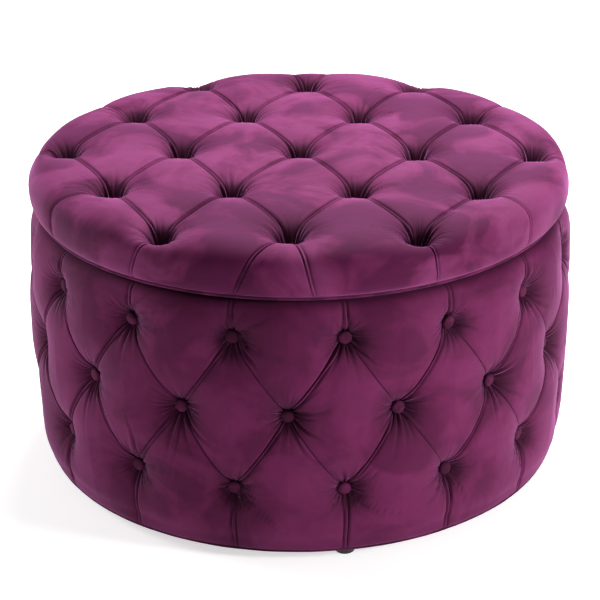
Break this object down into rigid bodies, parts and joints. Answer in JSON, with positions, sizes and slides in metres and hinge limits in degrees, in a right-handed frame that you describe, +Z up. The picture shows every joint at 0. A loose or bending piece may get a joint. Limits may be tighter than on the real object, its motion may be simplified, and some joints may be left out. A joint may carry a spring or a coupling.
{
  "type": "storage ottoman",
  "caption": "Round deep-buttoned velvet ottoman with piped edges, low round feet and a hinged padded lid over a lined storage drum.",
  "frame": {"origin": "on the floor, under the centre of the ottoman", "axes": "+Z up along the drum's axis, front towards -Y, hinges at +Y, +X to the right seen from the front"},
  "size_m": [0.8398, 0.8398, 0.489],
  "materials": {
    "velvet": "plum velvet, soft sheen",
    "velvet_piping": "plum velvet over cord",
    "velvet_buttons": "plum velvet over a shell",
    "foam": "upholstery foam",
    "lining": "black woven lining",
    "dust_cloth": "black non-woven cloth",
    "plywood": "raw plywood and pine",
    "fibreboard": "bent fibreboard",
    "black_plastic": "matt",
    "rubber": "matt",
    "twine": "nylon tufting twine",
    "hinge_steel": "zinc plated",
    "screw_steel": "zinc plated"
  },
  "bodies": {
    "body": {"body_cover": "velvet", "hem_welt": "velvet_piping", "body_buttons_row_1": "velvet_buttons", "body_buttons_row_2": "velvet_buttons", "body_buttons_row_3": "velvet_buttons", "body_foam": "foam", "inner_lining": "lining", "floor_lining": "lining", "dust_cover": "dust_cloth", "base_panel": "plywood", "top_ring": "plywood", "post_1": "plywood", "post_2": "plywood", "post_3": "plywood", "post_4": "plywood", "post_5": "plywood", "post_6": "plywood", "post_7": "plywood", "post_8": "plywood", "outer_drum": "fibreboard", "inner_drum": "fibreboard", "foot_1": "black_plastic", "foot_2": "black_plastic", "foot_3": "black_plastic", "foot_4": "black_plastic", "lid_bumper_1": "rubber", "lid_bumper_2": "rubber", "lid_bumper_3": "rubber", "lid_bumper_4": "rubber", "body_button_ties_row_1": "twine", "body_button_ties_row_2": "twine", "body_button_ties_row_3": "twine", "hinge_body_leaf_left": "hinge_steel", "hinge_body_leaf_right": "hinge_steel", "hinge_pin_left": "screw_steel", "hinge_pin_right": "screw_steel", "base_screws": "screw_steel", "top_ring_screws": "screw_steel", "foot_screws": "screw_steel", "hinge_body_screws": "screw_steel"},
    "lid": {"lid_board": "plywood", "lid_foam": "foam", "lid_cover": "velvet", "lid_lining": "lining", "lid_welt": "velvet_piping", "lid_buttons": "velvet_buttons", "lid_button_ties": "twine", "hinge_lid_leaf_left": "hinge_steel", "hinge_lid_leaf_right": "hinge_steel", "hinge_lid_screws": "screw_steel"}
  },
  "joints": [
    {"name": "lid_hinge", "type": "hinge", "parent": "body", "child": "lid", "pos_m": [0, 0.404, 0.407], "axis": [-1, 0, 0], "range_deg": [0, 100]}
  ]
}
